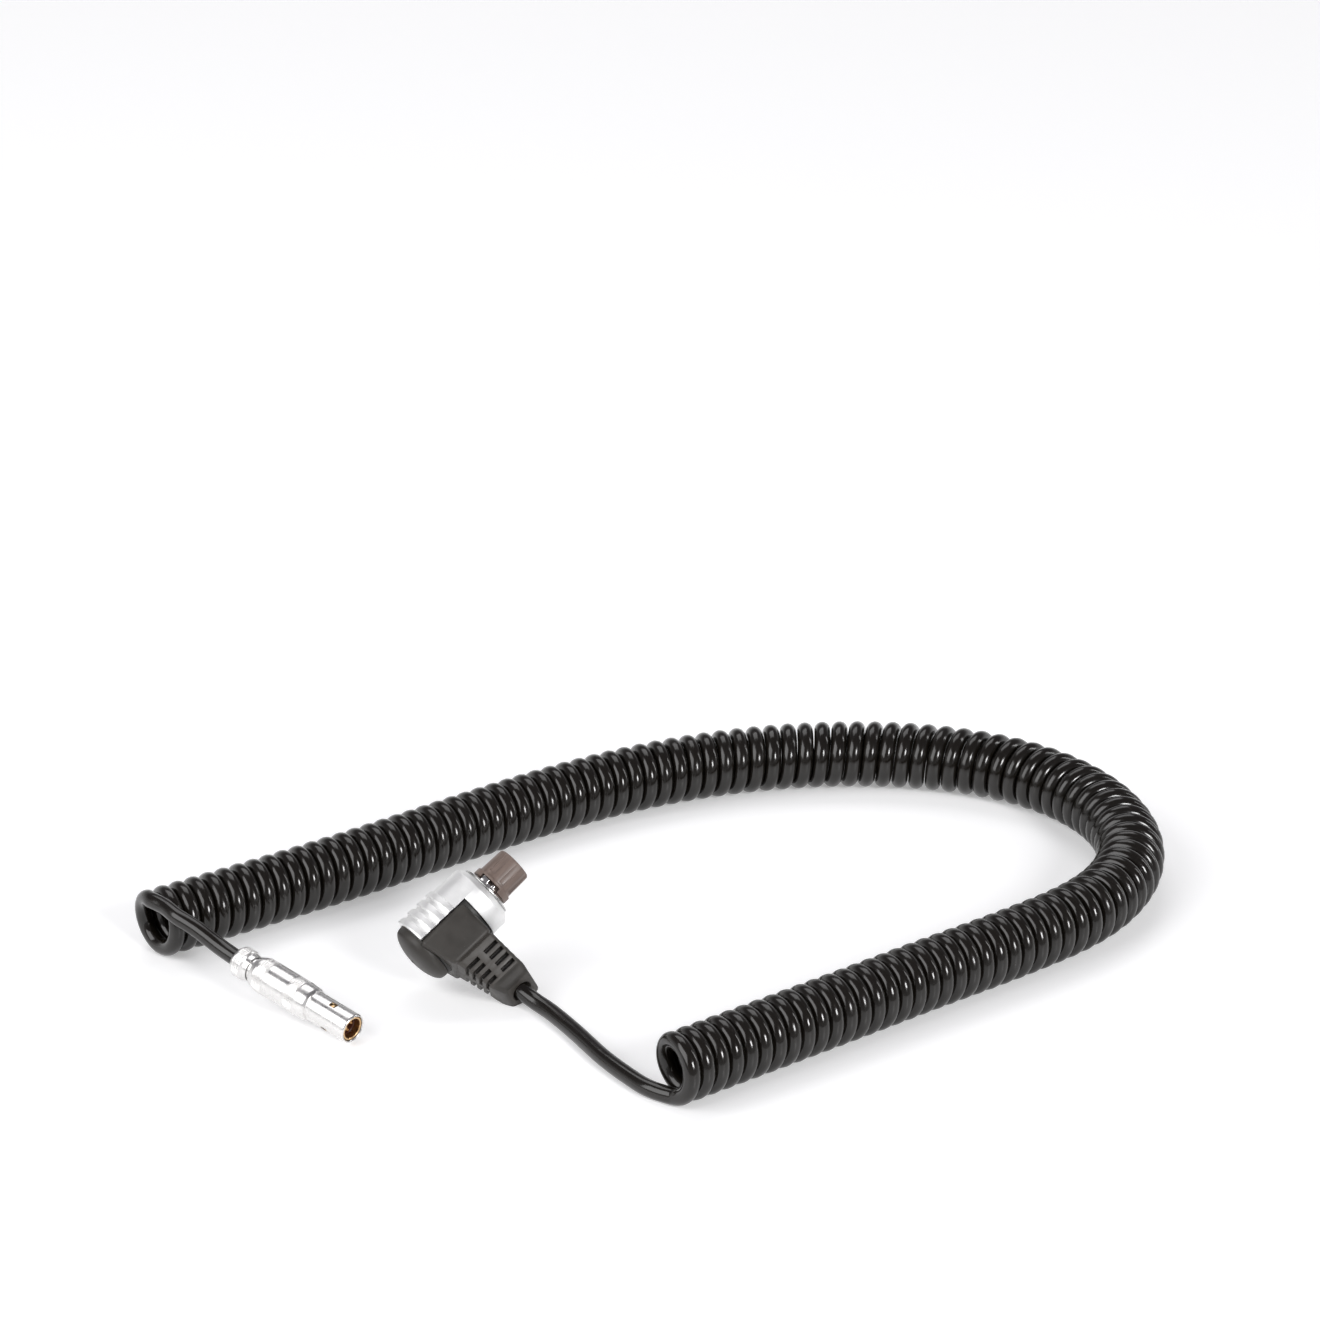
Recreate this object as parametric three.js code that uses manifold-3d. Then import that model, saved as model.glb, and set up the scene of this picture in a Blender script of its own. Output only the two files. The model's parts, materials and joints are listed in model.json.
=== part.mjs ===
// A coiled electronic release cable: a right-angle camera plug with a sprung locking collar,
// a black curly cord, and a small push-pull plug.  Millimetres, +Z up, floor at z = 0.
import * as THREE from 'three';
import { mergeVertices } from 'three/addons/utils/BufferGeometryUtils.js';
import Module from 'manifold-3d';

const wasm = await Module();
wasm.setup();

// ---------------------------------------------------------------- driving dimensions
const gap = 0.1; // between pieces that sit in one another
const cordGap = 0.3; // between the ends of the cord and what they meet
const roundSides = 32; // facets of a turned piece
const smallSides = 14; // facets of a pin or a wire's ferrule

// cord
const cordDiameter = 2.9;
const coilDiameter = 12.4;
const coilSides = 12;
const coilSteps = 80;
const leadSides = 8;

// camera plug: c runs along the cord's exit, a along the plug's own axis, from the collar's rear rim
const collarRadius = 6.2;
const collarWall = 0.45;
const collarLength = 14.5;
const collarTravel = 0.6;
const collarLip = 0.7; // thickness of the inward lip at the front
const collarMouthRadius = 4.5;
const collarChamfer = 1.0;
const ribHeight = 0.5;
const ribCount = 4;
const ribPitch = 2.2;
const ribWidth = 1.2;
const blockFront = 9.7;
const blockRear = -0.5;
const blockEdge = -0.4; // where the block starts, just behind the plug's axis
const blockWall = 0.5; // of the block beyond the collar's ribless radius, at the cord's side
const blockCorner = 0.9;
const reliefStep = 0.5;
const reliefLength = 9.3; // from the step to the end face
const reliefEndHalfThickness = 3.5;
const reliefEndHalfWidth = 3.2;
const reliefBevel = 2.1;
const exitHeight = 6.9; // of the cord's exit, along the plug's axis
const reliefWall = 1.2;
const slotCount = 4;
const slotPitch = 1.5;
const slotWidth = 0.68;
const slotSetback = 1.2; // from the step to the middle of the first slot
const slotRim = 0.5; // left between a slot and the edge on the tip's side
const slotWebHalfWidth = 0.7;
const capDepth = 2.9;
const flangeRadius = 3.72;
const flangeRear = 15.5;
const flangeThickness = 1.25;
const tipRadius = 3.25;
const tipRootRadius = 3.38;
const tipEnd = 21.8;
const stemRadius = 3.25;
const stemRear = 10.1;
const pinRadius = 0.45;
const pinCircle = 1.6;
const pinCount = 3;
const pinRecess = 0.3;
const pinTail = 1.4;
const clawWidth = 2.1;
const clawThickness = 0.4;
const clawRoot = 11.7;
const clawTip = 16.3;
const clawRadius = 3.0; // middle of the claw's thickness, from the axis
const clawSwing = 0.3; // how far its end dips towards the axis
const sleeveBore = 3.4;
const sleeveNeckRadius = 4.3;
const ringRadius = 4.9;
const ringThickness = 0.35;
const premouldCavityHalf = 2.5;
const ferruleWall = 0.35;
const ferruleLength = 2.8;
const tailStart = 8.2;
const conductorRadius = 0.4;

// push-pull plug, from the collet nut's rear face
const plugLength = 27.7;
const shellRadius = 3.2;
const shellRear = 4.7;
const shellTravel = 0.6;
const shellShoulder = 18.4;
const shellWall = 0.4;
const noseRadius = 2.67;
const nutWall = 0.7; // of the nut round the collet
const nutLength = 3.9;
const neckWall = 0.55; // of the collet round the cord
const latchWall = 0.35;
const latchRecess = 0.25; // of the latch sleeve's rim behind the nose's rim
const latchSleeveRear = 17.1;
const latchCount = 3;
const latchFirstAngle = -48; // degrees about the plug's axis
const latchWindow = 23.0; // middle of the windows
const latchWindowLength = 1.4;
const latchWindowWidth = 1.1;
const latchArmLength = 4.2;
const latchSwing = 0.22;
const carrierRear = 5.6;
const insulatorRear = 18.9;
const insulatorFront = 24.9;
const contactCount = 4;
const contactRadius = 0.3;
const contactCircle = 0.95;
const contactFront = 26.4;
const colletRear = 0.9;
const plugTailEnd = 9.0;

// where each plug lies, and which way it points
const cameraPlugAt = new THREE.Vector3(7.68, 3.63, 8.4);
const tipDirection = new THREE.Vector3(0.709, 0.454, 0.539).normalize();
const exitDirection = new THREE.Vector3(0.705, -0.458, -0.541);
const pushPlugAt = new THREE.Vector3(-24.46, 3.9, 6.37);
const pushDirection = new THREE.Vector3(0.748, -0.649, -0.135).normalize();
const pushFace = new THREE.Vector3(0, -0.91, 0.41);

// the middle of the curly part, from its far-left end to its near end; a separate fitting program
// worked these points out, and the ones near the two ends were then moved by hand
const coilRoute = [
  [-40.6, 17.5], [-24, 28.7], [-7.4, 40.4], [8.4, 52.4], [24.3, 64.2], [41.1, 74.7], [59.3, 82.4],
  [78.7, 86.2], [98.4, 85.2], [116.6, 77.8], [129.4, 63], [133.1, 43.8], [125.8, 25.6],
  [111.7, 12.1], [95.8, 0.1], [79.9, -12.1], [64.7, -23.6], [50.2, -34.5],
];

// ---------------------------------------------------------------- solids
function closed(geometry) {
  geometry.deleteAttribute('normal');
  geometry.deleteAttribute('uv');
  const merged = mergeVertices(geometry, 1e-4);
  const position = merged.getAttribute('position');
  const index = merged.getIndex().array;
  const kept = [];
  let volume = 0;
  const a = new THREE.Vector3();
  const b = new THREE.Vector3();
  const c = new THREE.Vector3();
  for (let i = 0; i < index.length; i += 3) {
    const [p, q, r] = index.subarray(i, i + 3);
    if (p === q || q === r || r === p) continue;
    a.fromBufferAttribute(position, p);
    b.fromBufferAttribute(position, q);
    c.fromBufferAttribute(position, r);
    volume += a.dot(b.cross(c));
    kept.push(p, q, r);
  }
  if (volume < 0) kept.reverse();
  merged.setIndex(kept);
  return merged;
}

function manifold(geometry) {
  const source = closed(geometry);
  const triVerts = new Uint32Array(source.getIndex().array);
  const vertProperties = new Float32Array(source.getAttribute('position').array);
  return new wasm.Manifold(new wasm.Mesh({ numProp: 3, vertProperties, triVerts }));
}

function geometryOf(solid) {
  const { vertProperties, triVerts } = solid.getMesh();
  const geometry = new THREE.BufferGeometry();
  geometry.setAttribute('position', new THREE.BufferAttribute(vertProperties, 3));
  geometry.setIndex(new THREE.BufferAttribute(triVerts, 1));
  geometry.computeVertexNormals();
  return geometry;
}

// a turned solid about +Z from an outline of [radius, height] points
function turned(outline, sides = roundSides) {
  const points = outline.map(([r, z]) => new THREE.Vector2(r, z));
  const first = outline[0];
  const last = outline[outline.length - 1];
  if (first[0] !== 0 || last[0] !== 0) points.push(points[0].clone());
  return manifold(new THREE.LatheGeometry(points, sides).rotateX(Math.PI / 2));
}

function rod(radius, low, high, sides = smallSides) {
  return turned([[0, low], [radius, low], [radius, high], [0, high]], sides);
}

function tube(inner, outer, low, high, sides = roundSides) {
  return turned([[inner, low], [outer, low], [outer, high], [inner, high]], sides);
}

function block(x0, x1, y0, y1, z0, z1) {
  const geometry = new THREE.BoxGeometry(x1 - x0, y1 - y0, z1 - z0);
  return manifold(geometry.translate((x0 + x1) / 2, (y0 + y1) / 2, (z0 + z1) / 2));
}

// rounded box sections joined along x; each is { x, low, high, half, corner }
function loft(sections) {
  const arcSteps = 3;
  const rings = sections.map(({ x, low, high, half, corner }) => {
    const ring = [];
    const middle = (low + high) / 2;
    const halfHeight = (high - low) / 2;
    for (let quarter = 0; quarter < 4; quarter += 1) {
      const cy = (half - corner) * (quarter === 0 || quarter === 3 ? 1 : -1);
      const cz = (halfHeight - corner) * (quarter < 2 ? 1 : -1);
      for (let step = 0; step <= arcSteps; step += 1) {
        const angle = (quarter + step / arcSteps) * (Math.PI / 2);
        ring.push([x, cy + corner * Math.cos(angle), middle + cz + corner * Math.sin(angle)]);
      }
    }
    return ring;
  });
  const count = rings[0].length;
  const vertices = rings.flat(2);
  const triangles = [];
  for (let s = 0; s + 1 < rings.length; s += 1) {
    for (let i = 0; i < count; i += 1) {
      const j = (i + 1) % count;
      const near = s * count;
      const far = near + count;
      triangles.push(near + i, near + j, far + j, near + i, far + j, far + i);
    }
  }
  const lastRing = (rings.length - 1) * count;
  for (let i = 1; i + 1 < count; i += 1) {
    triangles.push(0, i + 1, i, lastRing, lastRing + i, lastRing + i + 1);
  }
  const geometry = new THREE.BufferGeometry();
  geometry.setAttribute('position', new THREE.Float32BufferAttribute(vertices, 3));
  geometry.setIndex(triangles);
  return manifold(geometry);
}

// a tube of a many-sided section along a curve
function tubeAlong(curve, radius, steps, sides) {
  const section = new THREE.Shape();
  for (let i = 0; i < sides; i += 1) {
    const angle = (i / sides) * 2 * Math.PI;
    const point = [radius * Math.cos(angle), radius * Math.sin(angle)];
    if (i === 0) section.moveTo(...point);
    else section.lineTo(...point);
  }
  section.closePath();
  return new THREE.ExtrudeGeometry(section, { extrudePath: curve, steps, bevelEnabled: false });
}

function curveThrough(points) {
  const vectors = points.map((p) => new THREE.Vector3(...p));
  return new THREE.CatmullRomCurve3(vectors, false, 'catmullrom', 0.5);
}

function wire(points, radius) {
  return manifold(tubeAlong(curveThrough(points), radius, 8, 6));
}

function union(solids) {
  return solids.reduce((whole, next) => whole.add(next));
}

function polar(radius, degrees) {
  const angle = THREE.MathUtils.degToRad(degrees);
  return [radius * Math.cos(angle), radius * Math.sin(angle)];
}

// ---------------------------------------------------------------- materials
const finish = {
  moulding: new THREE.MeshStandardMaterial({ color: 0x34302c, roughness: 0.6, metalness: 0 }),
  cord: new THREE.MeshStandardMaterial({ color: 0x15130f, roughness: 0.25, metalness: 0 }),
  aluminium: new THREE.MeshStandardMaterial({ color: 0xd9d9d6, roughness: 0.35, metalness: 1 }),
  nickel: new THREE.MeshStandardMaterial({ color: 0xcfcfcf, roughness: 0.2, metalness: 1 }),
  steel: new THREE.MeshStandardMaterial({ color: 0x9a9a98, roughness: 0.3, metalness: 1 }),
  brass: new THREE.MeshStandardMaterial({ color: 0xc9a04e, roughness: 0.3, metalness: 1 }),
  insert: new THREE.MeshStandardMaterial({ color: 0x6b5750, roughness: 0.5, metalness: 0 }),
  insulator: new THREE.MeshStandardMaterial({ color: 0x3a1c12, roughness: 0.5, metalness: 0 }),
  wire: new THREE.MeshStandardMaterial({ color: 0x8a2f22, roughness: 0.5, metalness: 0 }),
};

function part(name, geometry, material) {
  const mesh = new THREE.Mesh(geometry, material);
  mesh.name = name;
  return mesh;
}

function piece(name, solid, material) {
  return part(name, geometryOf(solid), material);
}

// ---------------------------------------------------------------- camera plug
const collarBore = collarRadius - collarWall;
const blockHalfThickness = collarRadius + ribHeight;
const blockLength = collarRadius + blockWall;
const reliefStart = blockLength + reliefStep;
const reliefEnd = reliefStart + reliefLength;
const coreRadius = collarBore - gap;
const slotFront = blockFront + gap * 2 + collarTravel;
const lipRear = collarLength - collarLip - 0.3; // where the collar's bore starts to close
const sleeveShoulder = lipRear - collarTravel * 2 - gap * 2;
const premouldFront = slotFront + gap * 3;
const jacketRadius = cordDiameter / 2;
const tailBore = jacketRadius + gap;

function collarOutline() {
  const outline = [[collarBore, 0]];
  for (let i = 0; i < ribCount; i += 1) {
    const low = i * ribPitch;
    outline.push([collarRadius + ribHeight * 0.8, low]);
    outline.push([collarRadius + ribHeight, low + ribWidth * 0.3]);
    outline.push([collarRadius + ribHeight * 0.6, low + ribWidth]);
    outline.push([collarRadius, low + ribWidth + 0.15]);
    if (i + 1 < ribCount) outline.push([collarRadius, low + ribPitch - 0.05]);
  }
  outline.push([collarRadius, collarLength - collarChamfer]);
  outline.push([collarMouthRadius + 0.5, collarLength]);
  outline.push([collarMouthRadius, collarLength]);
  outline.push([collarMouthRadius, collarLength - collarLip]);
  outline.push([collarBore, lipRear]);
  return outline;
}

function lockingCollar() {
  const far = 20;
  const opening = block(blockEdge - gap * 1.5, far, -far, far, -far, slotFront);
  return turned(collarOutline()).subtract(opening);
}

function reliefSections(inset) {
  const bevelStart = reliefEnd - reliefBevel;
  const ease = (low, high, x) => low + ((high - low) * (x - reliefStart)) / reliefLength;
  const section = (x, pinch) => ({
    x,
    low: ease(blockRear + 2.2, exitHeight - reliefEndHalfWidth, x) + inset + pinch,
    high: ease(blockFront, exitHeight + reliefEndHalfWidth, x) - inset - pinch,
    half: ease(blockHalfThickness - reliefStep, reliefEndHalfThickness, x) - inset - pinch,
    corner: blockCorner * (inset > 0 ? 0.4 : 1),
  });
  return [section(reliefStart, 0), section(bevelStart, 0), section(reliefEnd, 0.45)];
}

function mouldedBody() {
  const blockSection = (x, rear, half) => (
    { x, low: rear, high: blockFront, half, corner: blockCorner }
  );
  const shell = loft([
    blockSection(blockEdge, blockRear, blockHalfThickness - 0.5),
    blockSection(blockEdge + 0.7, blockRear, blockHalfThickness),
    blockSection(blockLength, blockRear + 1.7, blockHalfThickness),
    ...reliefSections(0),
  ]);
  const core = loft(reliefSections(reliefWall));
  const far = 12;
  const cuts = [];
  const webLow = exitHeight - 1.2 - slotWebHalfWidth;
  const webHigh = webLow + slotWebHalfWidth * 2;
  for (let i = 0; i < slotCount; i += 1) {
    const start = reliefStart + slotSetback + i * slotPitch - slotWidth / 2;
    cuts.push(block(start, start + slotWidth, -far, far, -far, webLow));
    cuts.push(block(start, start + slotWidth, -far, far, webHigh, blockFront - slotRim));
  }
  const slots = union(cuts).subtract(core);
  const recess = rod(coreRadius + gap, blockRear - 1, blockFront + 1, roundSides);
  const ferruleEnd = tailStart + ferruleLength + gap;
  const cordHole = alongExit(rod(tailBore, 0, reliefEnd + 1));
  const ferruleHole = alongExit(rod(tailBore + ferruleWall + gap, 0, ferruleEnd));
  return shell.subtract(slots).subtract(recess).subtract(cordHole).subtract(ferruleHole);
}

// turns a solid made along +Z so that it runs along the cord's exit
function alongExit(solid) {
  return solid.rotate([0, 90, 0]).translate([0, 0, exitHeight]);
}

function rearCap() {
  return turned([
    [0, -capDepth], [coreRadius - 2.45, -capDepth], [coreRadius - 0.95, -capDepth + 0.45],
    [coreRadius - 0.1, -capDepth + 1.4],
    [coreRadius, -0.3], [coreRadius, gap * 2], [0, gap * 2],
  ]);
}

function premould() {
  const half = premouldCavityHalf;
  const solid = rod(coreRadius, gap * 3, premouldFront, roundSides);
  const cavity = block(-half, half, -half, half, exitHeight - half, premouldFront);
  const cordWay = block(0, coreRadius + 1, -half, half, exitHeight - half, blockFront);
  const stemBore = rod(sleeveBore, stemRear - gap * 2, premouldFront + 1, roundSides);
  return solid.subtract(cavity).subtract(cordWay).subtract(stemBore);
}

function guideSleeve() {
  return turned([
    [sleeveBore, premouldFront + gap], [coreRadius, premouldFront + gap],
    [coreRadius, sleeveShoulder], [sleeveNeckRadius, sleeveShoulder],
    [sleeveNeckRadius, collarLength + ringThickness + gap * 2],
    [sleeveBore, collarLength + ringThickness + gap * 2],
  ]);
}

function collarSpring() {
  return tube(
    sleeveNeckRadius + gap, coreRadius - 0.2,
    sleeveShoulder + gap, lipRear - gap,
  );
}

function retainingRing() {
  const ring = tube(
    sleeveNeckRadius + gap / 2, ringRadius,
    collarLength + gap / 2, collarLength + gap / 2 + ringThickness,
  );
  return ring.subtract(block(-0.8, 0.8, 0, 10, 0, 20));
}

function clawSlot(side) {
  const outer = side * (flangeRadius + 1);
  const inner = side * (clawRadius - clawThickness / 2 - clawSwing - gap * 2);
  const half = clawWidth / 2 + gap * 1.5;
  const [low, high] = [Math.min(outer, inner), Math.max(outer, inner)];
  return block(-half, half, low, high, clawRoot - gap * 2, clawTip + gap);
}

function contactInsert() {
  const flangeFront = flangeRear + flangeThickness;
  let solid = turned([
    [0, stemRear], [stemRadius, stemRear], [stemRadius, flangeRear], [flangeRadius, flangeRear],
    [flangeRadius, flangeFront], [tipRootRadius, flangeFront], [tipRadius, tipEnd - 0.25],
    [tipRadius - 0.25, tipEnd], [0, tipEnd],
  ]);
  for (let i = 0; i < pinCount; i += 1) {
    const [x, y] = polar(pinCircle, 90 + (i * 360) / pinCount);
    const hole = rod(pinRadius + gap, stemRear - 1, tipEnd + 1);
    solid = solid.subtract(hole.translate([x, y, 0]));
  }
  return solid.subtract(clawSlot(-1)).subtract(clawSlot(1));
}

function claw(side) {
  const half = clawWidth / 2;
  const spread = clawThickness / 2;
  const strip = block(-half, half, -spread, spread, clawRoot, clawTip);
  const hook = block(-half, half, spread - 0.05, spread + 0.35, clawTip - 0.7, clawTip - 0.1);
  const solid = strip.add(hook).translate([0, clawRadius, 0]);
  return side > 0 ? solid : solid.rotate([0, 0, 180]);
}

// where each wire leaves the cord's tail, and how high it crosses to its pin
const cameraWirePaths = [
  { side: 0.75, lift: -0.2, dip: -0.6 },
  { side: -0.55, lift: -0.6, dip: -1.6 },
  { side: -0.35, lift: 0.65, dip: 0.2 },
];

function cameraPlug() {
  const group = new THREE.Group();
  const x = exitDirection.clone().addScaledVector(tipDirection, -exitDirection.dot(tipDirection));
  x.normalize();
  const y = new THREE.Vector3().crossVectors(tipDirection, x);
  group.setRotationFromMatrix(new THREE.Matrix4().makeBasis(x, y, tipDirection));
  group.position.copy(cameraPlugAt);
  group.add(
    piece('moulded_body', mouldedBody(), finish.moulding),
    piece('rear_cap', rearCap(), finish.moulding),
    piece('inner_premould', premould(), finish.moulding),
    piece('locking_collar', lockingCollar(), finish.aluminium),
    piece('guide_sleeve', guideSleeve(), finish.nickel),
    piece('collar_spring', collarSpring(), finish.steel),
    piece('retaining_ring', retainingRing(), finish.steel),
    piece('contact_insert', contactInsert(), finish.insert),
    piece('claw_near', claw(-1), finish.nickel),
    piece('claw_far', claw(1), finish.nickel),
    piece('camera_cable_tail', alongExit(rod(jacketRadius, tailStart, reliefEnd - 0.2)), finish.cord),
    piece('crimp_ferrule', alongExit(
      tube(jacketRadius + gap, tailBore + ferruleWall, tailStart, tailStart + ferruleLength, smallSides),
    ), finish.brass),
  );
  for (let i = 0; i < pinCount; i += 1) {
    const [px, py] = polar(pinCircle, 90 + (i * 360) / pinCount);
    const rear = stemRear - pinTail;
    const pin = rod(pinRadius, rear, tipEnd - pinRecess, 10).translate([px, py, 0]);
    group.add(piece(`contact_pin_${i + 1}`, pin, finish.brass));
    const { side, lift, dip } = cameraWirePaths[i];
    const route = [
      [tailStart - cordGap, side, exitHeight + lift],
      [coreRadius, (side + py) / 2, exitHeight + (lift + dip) / 2],
      [px + 1.6, py, exitHeight + dip],
      [px + 0.2, py, exitHeight + dip + 0.6],
      [px, py, rear - cordGap],
    ];
    group.add(piece(`camera_wire_${i + 1}`, wire(route, conductorRadius), finish.wire));
  }
  return group;
}

// ---------------------------------------------------------------- push-pull plug
const noseBore = noseRadius - shellWall;
const latchRadius = noseBore - gap;
const latchBore = latchRadius - latchWall;
const neckRadius = tailBore + neckWall;
const nutRadius = neckRadius + nutWall;
const carrierBore = tailBore + gap / 2;
const wireBore = contactCircle + contactRadius + gap * 2;
const shellBore = neckRadius + gap * 1.5;
const latchAngles = Array.from({ length: latchCount }, (_, i) => latchFirstAngle + (i * 360) / latchCount);

function atAngle(solid, degrees) {
  return solid.rotate([0, 0, degrees]);
}

function outerShell() {
  const outline = [
    [shellBore, shellRear], [nutRadius, shellRear], [shellRadius, shellRear + 1.2],
    [shellRadius, shellShoulder - 2.6], [shellRadius - 0.15, shellShoulder],
    [noseRadius, shellShoulder], [noseRadius, plugLength - 0.15], [noseRadius - 0.1, plugLength],
    [noseBore, plugLength], [noseBore, latchSleeveRear - shellTravel - gap * 2],
    [shellBore, latchSleeveRear - shellTravel - gap * 2],
  ];
  let solid = turned(outline);
  const half = latchWindowLength / 2;
  const wide = latchWindowWidth / 2;
  for (const angle of latchAngles) {
    const window = block(noseBore - 0.6, noseRadius + 1, -wide, wide, latchWindow - half, latchWindow + half);
    solid = solid.subtract(atAngle(window, angle));
  }
  return solid;
}

function armSlot() {
  const wide = latchWindowWidth / 2 - gap;
  const front = latchWindow + latchWindowLength / 2;
  return block(latchBore - 0.6, noseRadius + 1, -wide, wide, front - latchArmLength, front);
}

function latchSleeve() {
  let solid = tube(latchBore, latchRadius, latchSleeveRear, plugLength - latchRecess);
  for (const angle of latchAngles) solid = solid.subtract(atAngle(armSlot(), angle));
  const key = block(latchBore - 0.35, latchBore + 0.1, -0.3, 0.3, contactFront, plugLength - latchRecess);
  return solid.add(atAngle(key, latchFirstAngle + 60));
}

function latchArm() {
  const wide = latchWindowWidth / 2 - gap * 2;
  const front = latchWindow + latchWindowLength / 2 - gap * 1.5;
  const rear = front - latchArmLength + gap * 3;
  const inner = latchBore + gap * 1.2;
  const strip = block(inner, inner + 0.22, -wide, wide, rear, front);
  const tooth = block(inner + 0.15, latchRadius + 0.3, -wide, wide, front - 1.0, front - 0.3);
  return strip.add(tooth);
}

function carrierHalf(side) {
  const step = latchSleeveRear - shellTravel * 2 - gap * 4;
  const throat = Math.min(noseBore, shellBore) - gap * 1.5;
  const whole = turned([
    [carrierBore, carrierRear], [neckRadius, carrierRear], [neckRadius, step], [throat, step],
    [throat, latchSleeveRear - gap], [latchBore - gap, latchSleeveRear - gap],
    [latchBore - gap, insulatorRear - gap], [wireBore, insulatorRear - gap],
    [wireBore, plugTailEnd + gap * 2], [carrierBore, plugTailEnd + gap * 2],
  ]);
  const far = 10;
  const cut = side > 0 ? block(-far, far, -far, gap / 2, 0, 40) : block(-far, far, -gap / 2, far, 0, 40);
  return whole.subtract(cut);
}

function pushPlug() {
  const group = new THREE.Group();
  const x = pushFace.clone().addScaledVector(pushDirection, -pushFace.dot(pushDirection));
  x.normalize();
  const y = new THREE.Vector3().crossVectors(pushDirection, x);
  group.setRotationFromMatrix(new THREE.Matrix4().makeBasis(x, y, pushDirection));
  group.position.copy(pushPlugAt);
  const nut = turned([
    [tailBore, 0], [nutRadius - 0.25, 0], [nutRadius, 0.25], [nutRadius, nutLength - 0.3],
    [nutRadius - 0.3, nutLength], [neckRadius + gap, nutLength], [neckRadius + gap, colletRear],
    [tailBore, colletRear - gap],
  ]);
  const collet = turned([
    [tailBore, colletRear + gap], [neckRadius - 0.1, colletRear + gap], [neckRadius, colletRear + 0.5],
    [neckRadius, carrierRear - gap], [tailBore, carrierRear - gap],
  ]);
  const slit = block(-0.12, 0.12, 0, 10, 0, 10);
  let insulator = rod(latchBore - gap, insulatorRear, insulatorFront, roundSides);
  group.add(
    piece('outer_shell', outerShell(), finish.nickel),
    piece('latch_sleeve', latchSleeve(), finish.brass),
    piece('collet_nut', nut, finish.nickel),
    piece('collet', collet.subtract(slit), finish.nickel),
    piece('carrier_half_1', carrierHalf(1), finish.brass),
    piece('carrier_half_2', carrierHalf(-1), finish.brass),
    piece('plug_cable_tail', rod(jacketRadius, gap * 2, plugTailEnd), finish.cord),
  );
  latchAngles.forEach((angle, i) => {
    group.add(piece(`latch_arm_${i + 1}`, atAngle(latchArm(), angle), finish.nickel));
  });
  for (let i = 0; i < contactCount; i += 1) {
    const [px, py] = polar(contactCircle, 45 + (i * 360) / contactCount);
    const rear = insulatorRear - 2;
    const at = (solid) => solid.translate([px, py, 0]);
    insulator = insulator.subtract(at(rod(contactRadius + gap, insulatorRear - 1, insulatorFront + 1, 8)));
    group.add(piece(`contact_${i + 1}`, at(rod(contactRadius, rear, contactFront, 8)), finish.brass));
    const [sx, sy] = polar(0.75, 45 + (i * 360) / contactCount);
    const route = [
      [sx, sy, plugTailEnd + cordGap], [sx * 1.1, sy * 1.1, 12], [px, py, 15], [px, py, rear - cordGap],
    ];
    group.add(piece(`plug_wire_${i + 1}`, wire(route, conductorRadius * 0.7), finish.wire));
  }
  group.add(piece('insulator', insulator, finish.insulator));
  return group;
}

// ---------------------------------------------------------------- cord
function cord(cameraExit, plugEntry) {
  const cordExit = cameraPlugAt.clone()
    .addScaledVector(exitDirection, reliefEnd + cordGap)
    .addScaledVector(tipDirection, exitHeight);
  const group = new THREE.Group();
  const radius = coilDiameter / 2;
  const route = curveThrough(coilRoute.map(([x, y]) => [x, y, radius]));
  group.add(part('curly_cord', closed(tubeAlong(route, radius, coilSteps, coilSides)), finish.cord));
  const camera = curveThrough([cordExit.toArray(), ...cameraExit]);
  const plug = curveThrough(plugEntry);
  group.add(
    part('lead_camera_end', closed(tubeAlong(camera, cordDiameter / 2, 18, leadSides)), finish.cord),
    part('lead_plug_end', closed(tubeAlong(plug, cordDiameter / 2, 8, leadSides)), finish.cord),
  );
  return group;
}

// leads, chosen by hand: from the strain relief to the curly part, and from it to the collet nut
const cameraLead = [
  [26.8, -2.7, 1.85], [29.8, -6.2, 1.5], [34, -13.1, 1.46],
  [38.6, -21.5, 1.46], [42.8, -27.8, 1.46], [46.4, -32.2, 1.46],
];
const plugLead = [
  [-35.8, 12.4, 10.4], [-33.8, 10.9, 9.85], [-31.5, 9.4, 9], [-27.9, 6.9, 7.3], [-24.67, 4.07, 6.41],
];

const releaseCable = new THREE.Group();
releaseCable.add(cameraPlug(), pushPlug(), cord(cameraLead, plugLead));

export default releaseCable;
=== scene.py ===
"""A coiled electronic release cable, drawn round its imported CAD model.

Sizes are in millimetres until a piece is settled into the row's frame, which is in metres.
Each plug has its own frame: z runs along the plug, x is the way its cord leaves or its face turns.
"""

import json
import math

import bmesh
import bpy
from mathutils import Matrix, Vector


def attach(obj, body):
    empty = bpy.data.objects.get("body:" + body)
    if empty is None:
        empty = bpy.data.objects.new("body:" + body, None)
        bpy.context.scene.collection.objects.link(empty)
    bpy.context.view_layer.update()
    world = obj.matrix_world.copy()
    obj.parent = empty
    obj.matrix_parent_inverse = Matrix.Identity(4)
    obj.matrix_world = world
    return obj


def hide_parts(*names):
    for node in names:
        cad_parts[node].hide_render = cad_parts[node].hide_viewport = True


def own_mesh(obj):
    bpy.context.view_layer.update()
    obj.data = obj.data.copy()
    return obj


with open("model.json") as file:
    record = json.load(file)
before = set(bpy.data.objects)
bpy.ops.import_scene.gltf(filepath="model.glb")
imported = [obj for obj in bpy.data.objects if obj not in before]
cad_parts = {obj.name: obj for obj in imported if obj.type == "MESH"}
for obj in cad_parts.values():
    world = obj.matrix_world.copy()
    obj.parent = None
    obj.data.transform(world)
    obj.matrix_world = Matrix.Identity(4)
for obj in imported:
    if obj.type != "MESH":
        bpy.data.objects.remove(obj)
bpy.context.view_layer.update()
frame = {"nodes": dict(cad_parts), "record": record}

MM = 0.001
TURN = 2 * math.pi

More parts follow.
